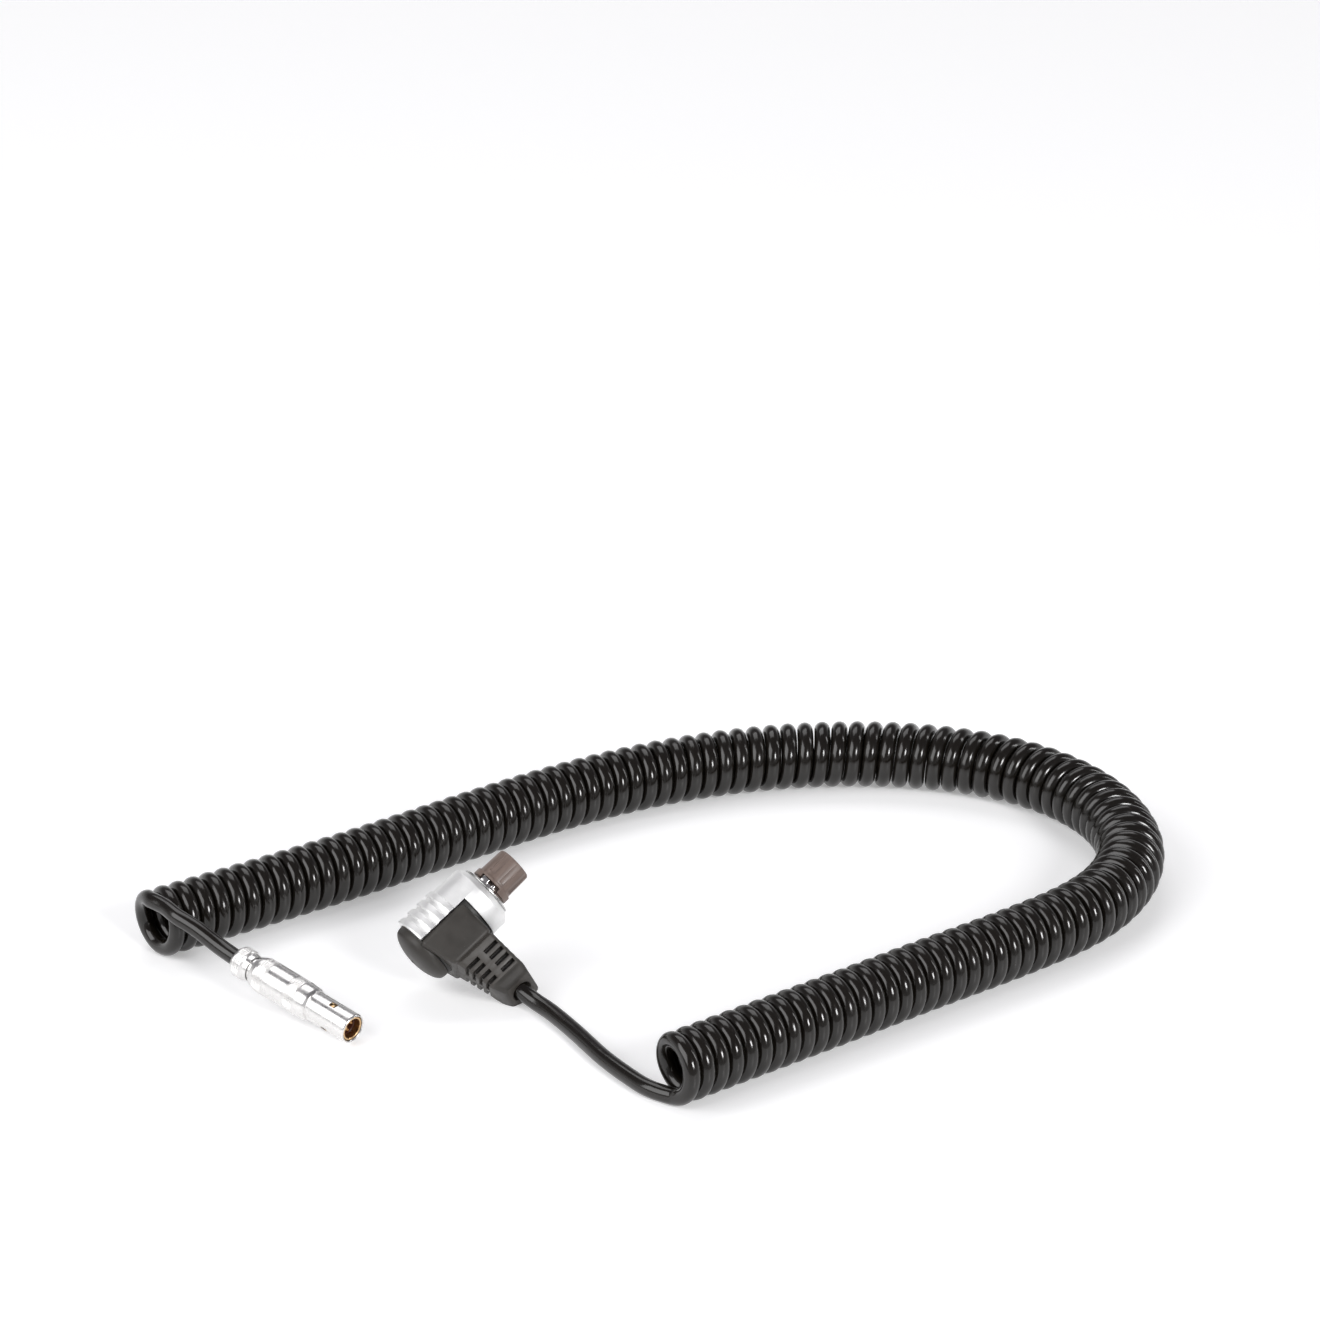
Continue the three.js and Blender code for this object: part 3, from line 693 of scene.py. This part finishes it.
def make_moulded_body():
    def slab(x, pinch, corner=0.75):
        low = -0.5 + 1.7 * max(0, x - 0.3) / 6.4
        return (x, low + pinch, BLOCK_FRONT - pinch, 6.7 - pinch, corner, 0)

    body = loft("overmould", [
        slab(-0.4, 0.7, 0.5), slab(-0.2, 0.42, 0.6), slab(0.05, 0.18, 0.7), slab(0.35, 0.03), slab(0.6, 0.0),
        slab(6.1, 0.0), slab(6.4, 0.04), slab(6.62, 0.18), slab(BLOCK_LENGTH, 0.42),
        (6.86, 1.6, 9.45, 6.02, 0.8, 0), relief_section(RELIEF_START),
        relief_section(10.5), relief_section(13.6), relief_section(15.1, 0.0, 0.9, 0.3),
        relief_section(15.8, 0.1, 0.9, 0.38), relief_section(16.5, 0.26, 0.85, 0.42),
        relief_section(16.85, 0.4, 0.75, 0.42), relief_section(RELIEF_END, 0.6, 0.6, 0.42),
    ], 8)
    recess = turned("recess", [(0, -3), (CORE_RADIUS + 0.1, -3), (CORE_RADIUS + 0.1, 12), (0, 12)], 160)
    hole = turn(turned("hole", [(0, 0), (1.62, 0), (1.62, 12), (0, 12)], 64), 90, "Y")
    hole.data.transform(Matrix.Translation((6.5, 0, EXIT_HEIGHT)))
    mouth = turned("mouth", [(0, 0), (1.6, 0), (1.62, 1.2), (2.05, 1.9), (2.05, 4), (0, 4)], 64)
    lean = Matrix.Rotation(math.radians(MOUTH_LEAN), 4, "Z")
    mouth.data.transform(Matrix.Translation(MOUTH_AT) @ lean @ Matrix.Rotation(TURN / 4, 4, "Y"))
    combine(body, [recess, hole])
    combine(body, [mouth])
    first, pitch, fall = 8.65, 1.38, 0.255
    for side in (-1, 1):
        step = (pitch, -side * fall * pitch, 0)
        face = 6.2 - fall * (first - RELIEF_START)
        at = side * (face - 0.45)
        common = dict(Count=4, Material=MATERIALS["moulded_shell"])
        grow(body, SLOTS, First=(first, at, 3.0), Step=step, Size=(0.72, 2.0, 4.0), **common)
        grow(body, SLOTS, First=(first, at, 7.75), Step=step, Size=(0.72, 2.0, 2.9), **common)
        grow(body, SLOTS, First=(first, at, 9.78), Step=(*step[:2], 0.055), Size=(0.72, 1.4, 0.36), **common)
        reach = (pitch, -side * fall * pitch / 2, pitch * 0.2)
        grow(body, SLOTS, First=(first, side * 3.4, 1.9), Step=reach, Size=(0.72, 4.4, 1.5), **common)
    bake(body)
    soften(body, 0.07, 2, 48)
    settle(body, CAMERA_PLUG, "cable", "moulded_shell", "moulded_body")


def make_premould():
    core = turned("premould", [(0, 0.3), (5.65, 0.3, 0.1), (5.65, 10.8, 0.06), (0, 10.8)], 160)
    bore = turned("bore", [(0, 9.9), (3.4, 9.9), (3.4, 13), (0, 13)], 96)
    combine(core, [box((-2.5, -2.5, 4.4), (2.5, 2.5, 11.5))])
    combine(core, [bore])
    combine(core, [box((0, -2.5, 4.4), (7, 2.5, 9.7))])
    settle(core, CAMERA_PLUG, "cable", "hidden_moulding", "inner_premould")


def make_rear_cap():
    angles = [TURN / 4 * i / 14 for i in range(1, 15)]
    dome = [(5.6 * math.sin(a), -0.75 - 2.15 * math.cos(a)) for a in angles]
    cap = turned("rear_dome", [
        (0, -2.98), (0.34, -2.98, 0.04), (0.42, -2.86, 0.03), (0.62, -2.86), *dome,
        (CORE_RADIUS, -0.5, 0.05), (CORE_RADIUS, 0.2, 0.05), (0, 0.2),
    ], 144)
    settle(cap, CAMERA_PLUG, "cable", "moulded_shell", "rear_cap")


def make_locking_collar():
    outline = [(5.75, 0.0, 0.08)]
    for i in range(4):
        low = i * 2.2
        outline += [
            (6.62, low, 0.1), (6.7, low + 0.3, 0.15), (6.56, low + 1.3, 0.08), (6.24, low + 1.4, 0.05),
        ]
        if i < 3:
            outline.append((6.24, low + 2.18, 0.04))
    outline += [
        (COLLAR_RADIUS, 13.4, 0.12), (5.05, 14.46, 0.12), (4.5, COLLAR_LENGTH, 0.08), (4.5, 13.8, 0.06),
        (5.75, 13.5, 0.1),
    ]
    collar = turned("collar", outline, 192)
    combine(collar, [box((-0.55, -20, -20), (20, 20, 10.5))])
    soften(collar, 0.1, 2, 55)
    settle(collar, CAMERA_PLUG, "locking_collar", "satin_aluminium", "locking_collar")


def make_collar_works():
    """The sleeve the collar slides on, its spring, and the ring that keeps it on."""
    camera_nickel = MATERIALS["camera_plug_nickel"]
    sleeve = turned("slide_sleeve", [
        (3.4, 10.9, 0.1), (5.65, 10.9, 0.1), (5.65, 12.1, 0.12), (4.3, 12.1, 0.05), (4.3, 15.05, 0.15),
        (3.4, 15.05, 0.1),
    ], 128)
    settle(sleeve, CAMERA_PLUG, "cable", "bright_nickel", "guide_sleeve", material=camera_nickel)
    spring = new_object("spring", bmesh.new())
    grow(spring, SPRING, Turns=2.6, Radius=4.88, Height=0.8, Wire=0.19, Material=MATERIALS["spring_steel"])
    bake(spring)
    spring.data.transform(Matrix.Translation((0, 0, 12.41)))
    settle(spring, CAMERA_PLUG, "cable", "spring_steel", "collar_spring")
    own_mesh(spring)
    ring = turned("snap_ring", [
        (4.36, 14.55, 0.08), (4.9, 14.55, 0.12), (4.9, 14.9, 0.12), (4.36, 14.9, 0.08),
    ], 96)
    combine(ring, [box((-0.8, 0, 0), (0.8, 10, 20))])
    soften(ring, 0.04, 2, 55)
    settle(ring, CAMERA_PLUG, "cable", "spring_steel", "retaining_ring")


def make_contact_insert():
    insert = turned("tip", [
        (0, 10.1), (3.25, 10.1, 0.15), (3.25, 15.5, 0.1), (3.72, 15.5, 0.12), (3.72, 16.75, 0.14),
        (3.4, 16.75, 0.08),
        (3.38, 17.1), (3.27, 21.5, 0.1), (3.02, 21.8, 0.1), (0, 21.8),
    ], 144)
    cuts = []
    # keyways and flats along the tip
    for angle, width, depth, rear in ((-110, 1.3, 0.26, 17.5), (-64, 1.1, 0.16, 17.2), (-20, 1.3, 0.3, 17.2),
                                      (75, 1.6, 0.3, 17.2), (165, 0.9, 0.2, 17.5)):
        cuts.append(turn(box((3.33 - depth, -width / 2, rear), (5, width / 2, 25), 0.12), angle))
    for i in range(3):
        angle = TURN * (0.25 + i / 3)
        place = Matrix.Translation((1.6 * math.cos(angle), 1.6 * math.sin(angle), 0))
        hole = turned("hole", [(0, 8), (0.55, 8), (0.55, 21.45), (0.78, 21.82), (0.78, 25), (0, 25)], 40)
        hole.data.transform(place)
        cuts.append(hole)
    # the claws' windows, with the lugs left beside them
    for side in (-1, 1):
        low, high = sorted((side * 2.3, side * 5))
        cuts.append(box((-2.05, low, 14.6), (2.05, high, 16.28), 0.1))
        low, high = sorted((side * 2.4, side * 5))
        cuts.append(box((-1.3, low, 11.5), (1.3, high, 15.0)))
        low, high = sorted((side * 3.35, side * 5))
        for start in (-2.75, 2.3):
            cuts.append(box((start, low, 15.35), (start + 0.45, high, 16.1), 0.08))
    for cut in cuts:
        combine(insert, [cut])
    soften(insert, 0.05, 2, 50)
    settle(insert, CAMERA_PLUG, "cable", "contact_insert", "contact_insert")


def make_claw(side, node):
    """A spring strip with a broad tooth at one edge and a round nub at the other."""
    claw = box((-1.02, 2.84, 11.72), (1.02, 3.12, 15.3), 0.05)
    heads = [
        box((-1.55, 2.84, 15.0), (1.4, 3.12, 15.62), 0.05),
        box((-1.55, 2.84, 15.05), (-0.2, 3.6, 16.15), 0.12),
        box((0.62, 2.84, 15.3), (1.3, 3.5, 16.05), 0.2),
    ]
    for head in heads:
        combine(claw, [head], "UNION")
    combine(claw, [box((-0.45, 2, 12.4), (0.45, 4, 14.6), 0.2)])
    soften(claw, 0.04, 2, 50)
    if side < 0:
        mirror = Matrix.Scale(-1, 4, (0, 1, 0))
        claw.data.transform(mirror)
        claw.data.flip_normals()
    settle(claw, CAMERA_PLUG, node, "bright_nickel", node, material=MATERIALS["camera_plug_nickel"])


def make_contact_pins():
    for i in range(3):
        angle = TURN * (0.25 + i / 3)
        pin = turned(f"pin_{i + 1}", [
            (0, 8.7), (0.3, 8.7, 0.06), (0.45, 8.9, 0.05), (0.45, 9.9, 0.04), (0.38, 9.95), (0.38, 10.3),
            (0.45, 10.35, 0.04), (0.45, 21.15, 0.25), (0.12, 21.5), (0, 21.5),
        ], 40)
        pin.data.transform(Matrix.Translation((1.6 * math.cos(angle), 1.6 * math.sin(angle), 0)))
        settle(pin, CAMERA_PLUG, "cable", "gold_brass", f"contact_pin_{i + 1}")


make_moulded_body()
make_premould()
make_rear_cap()
make_locking_collar()
make_collar_works()
make_contact_insert()
make_claw(-1, "claw_near")
make_claw(1, "claw_far")
make_contact_pins()


# ---------------------------------------------------------------- push-pull plug
LATCH_ANGLES = (-48, 72, 192)
LATCH_WINDOW = (22.3, 23.7)


def make_outer_shell():
    knurls = ((6.2, 8.3), (13.7, 15.8))
    shell = turned("shell", [
        (2.3, 4.7, 0.06), (2.66, 4.7, 0.12), (3.1, 5.85, 0.15), (3.1, 6.08), (3.2, 6.14),
        *band(3.2, *knurls[0], 40), (3.2, 8.36), (3.12, 8.42), (3.12, 8.62), (3.18, 8.7),
        (3.18, 13.3), (3.12, 13.4), (3.12, 13.58), (3.2, 13.64),
        *band(3.2, *knurls[1], 40), (3.2, 15.86), (3.14, 15.95, 0.05), (3.14, 16.4, 0.2), (3.02, 17.95, 0.15),
        (2.86, 18.3, 0.08), (2.82, 18.4, 0.04), (2.78, 18.46), (2.62, 18.5, 0.04),
        (2.62, 18.8, 0.05), (2.67, 18.86, 0.04),
        (2.67, 27.5, 0.14), (2.5, 27.7, 0.06), (2.4, 27.7, 0.05), (2.27, 27.5), (2.27, 16.3), (2.3, 16.2),
    ], 384)
    for low, high in knurls:
        grow(shell, KNURL, Start=low, End=high, Around=48.0, Spacing=(high - low) / 5, Depth=0.11,
             Material=MATERIALS["bright_nickel"])
    bake(shell)
    low, high = LATCH_WINDOW
    combine(shell, [turn(box((1.6, -0.55, low), (4, 0.55, high), 0.22), angle) for angle in LATCH_ANGLES])
    settle(shell, PUSH_PLUG, "outer_shell", "bright_nickel", "outer_shell", sharp=30)


def make_collet_nut():
    nut = turned("nut", [
        (1.6, 0.0, 0.05), (2.25, 0.0, 0.1), (2.62, 0.55, 0.1), (2.8, 0.7, 0.05), *band(2.8, 0.8, 2.48, 32),
        (2.8, 2.56, 0.04), (2.62, 2.72, 0.05), (2.42, 2.85, 0.1), (2.4, 3.9, 0.04),
        (2.25, 3.9, 0.03), (2.25, 0.9, 0.05),
        (1.6, 0.8, 0.05),
    ], 336)
    grow(nut, KNURL, Start=0.8, End=2.48, Around=42.0, Spacing=0.42, Depth=0.1,
         Material=MATERIALS["bright_nickel"])
    bake(nut)
    settle(nut, PUSH_PLUG, "cable", "bright_nickel", "collet_nut", sharp=30)


def make_collet():
    collet = turned("collet_jaws", [
        (1.61, 1.0, 0.04), (2.05, 1.0, 0.05), (2.15, 1.4, 0.05), (2.15, 5.5, 0.05), (1.61, 5.5, 0.05),
    ], 96)
    combine(collet, [box((-0.12, 0, 0), (0.12, 10, 3.6))])
    settle(collet, PUSH_PLUG, "cable", "bright_nickel", "collet")


def make_latch():
    sleeve = turned("latch_tube", [
        (1.82, 17.1, 0.05), (2.17, 17.1, 0.05), (2.17, 27.45, 0.06), (2.1, 27.5),
        (1.9, 27.5, 0.05), (1.82, 27.4, 0.05),
    ], 160)
    slits = []
    low, high = LATCH_WINDOW
    for angle in LATCH_ANGLES:
        slits.append(turn(box((1.2, -0.45, high - 4.2), (4, 0.45, high), 0.1), angle))
    combine(sleeve, slits)
    key = turn(box((1.47, -0.3, 26.4), (1.92, 0.3, 27.4), 0.07), LATCH_ANGLES[0] + 60)
    combine(sleeve, [key], "UNION", "EXACT")
    settle(sleeve, PUSH_PLUG, "cable", "gold_brass", "latch_sleeve")
    for i, angle in enumerate(LATCH_ANGLES):
        arm = box((1.94, -0.35, 19.68), (2.16, 0.35, 23.52), 0.04)
        tooth = box((2.0, -0.33, 22.57), (2.41, 0.33, 23.24), 0.1)
        combine(arm, [tooth], "UNION")
        soften(arm, 0.03, 2, 50)
        turn(arm, angle)
        settle(arm, PUSH_PLUG, f"latch_arm_{i + 1}", "bright_nickel", f"latch_arm_{i + 1}",
               material=MATERIALS["gold_brass"])


def make_contacts():
    insulator = turned("contact_holder", [
        (0, 18.9), (1.62, 18.9, 0.05), (1.72, 19.0, 0.04), (1.72, 26.2, 0.06), (1.6, 26.32, 0.05),
        (1.5, 26.2, 0.05),
        (1.46, 24.75, 0.08), (0, 24.75),
    ], 128)
    cuts = []
    for i in range(4):
        angle = TURN * (0.125 + i / 4)
        place = Matrix.Translation((0.95 * math.cos(angle), 0.95 * math.sin(angle), 0))
        hole = turned("hole", [(0, 18), (0.36, 18), (0.36, 30), (0, 30)], 32)
        hole.data.transform(place)
        cuts.append(hole)
        contact = turned(f"socket_contact_{i + 1}", [
            (0, 16.9), (0.22, 16.9, 0.04), (0.3, 17.0, 0.03), (0.3, 26.1, 0.15), (0.1, 26.4), (0, 26.4),
        ], 32)
        contact.data.transform(place)
        settle(contact, PUSH_PLUG, "cable", "gold_brass", f"contact_{i + 1}")
    combine(insulator, cuts)
    soften(insulator, 0.02, 2, 50)
    settle(insulator, PUSH_PLUG, "cable", "insulator", "insulator")


make_outer_shell()
make_collet_nut()
make_collet()
make_latch()
make_contacts()


# ---------------------------------------------------------------- carried-over nodes
def paint_nodes():
    """Every CAD node gets its slot's material; most are hidden, because a finer piece replaces them."""
    slots = {entry["node"]: entry["material_slot"] for entry in frame["record"]["subparts"]}
    for name, node in frame["nodes"].items():
        node.data.materials.clear()
        node.data.materials.append(MATERIALS[slots[name]])


paint_nodes()


# ---------------------------------------------------------------- studio
def make_floor():
    bm = bmesh.new()
    bmesh.ops.create_grid(bm, x_segments=1, y_segments=1, size=4)
    floor = new_object("floor", bm)
    material, _, shader = new_material(
        "floor", (0.86, 0.86, 0.865), 0.3, Specular_IOR_Level=0.25,
        Emission_Color=(1, 1, 1, 1), Emission_Strength=0.3,
    )
    floor.data.materials.append(material)


def add_softbox(name, at, aim, size, power, color=(1, 1, 1)):
    data = bpy.data.lights.new(name, "AREA")
    data.shape = "RECTANGLE"
    data.size, data.size_y = size
    data.energy = power
    data.color = color
    light = bpy.data.objects.new(name, data)
    light.location = at
    light.rotation_euler = (Vector(aim) - Vector(at)).to_track_quat("-Z", "Y").to_euler()
    bpy.context.scene.collection.objects.link(light)


# name, direction from the middle, distance, size, power; metres and watts
LIGHTS = (
    ("key", (0.5, -0.724, 0.474), 1.4, (0.36, 0.36), 11),
    ("softbox", (-0.695, -0.432, 0.574), 1.2, (1.0, 0.9), 10),
    ("edge", (0.856, 0.257, 0.443), 1.3, (0.12, 0.7), 1.8),
    ("top", (-0.1, 0.5, 0.86), 1.3, (0.9, 0.7), 4),
)


def make_light():
    """A dim room with a bright horizon, a small key to the right, a broad softbox to the left."""
    world = bpy.data.worlds.new("studio")
    bpy.context.scene.world = world
    world.use_nodes = True
    graph = Graph(world.node_tree)
    background = world.node_tree.nodes["Background"]
    ray = graph.add("ShaderNodeTexCoord").outputs["Generated"]
    level = graph.add("ShaderNodeSeparateXYZ", {"Vector": ray}).outputs
    horizon = remap(graph, level[2], 0.1, 0.45, 1.0, 0.0)
    behind = remap(graph, level[1], -0.6, 0.3, 0.25, 1.0)
    glow = graph.math("MULTIPLY", horizon, behind)
    graph.feed(background.inputs["Color"], blend_colors(graph, glow, (0.16, 0.155, 0.17), (1, 1, 1)))
    graph.feed(background.inputs["Strength"], 1.0)
    middle = Vector((0.04, 0.02, 0))
    for name, direction, distance, size, power in LIGHTS:
        at = middle + Vector(direction).normalized() * distance
        add_softbox(name, at, middle, size, power)
    bpy.context.scene.view_settings.view_transform = "Standard"


make_floor()
make_light()
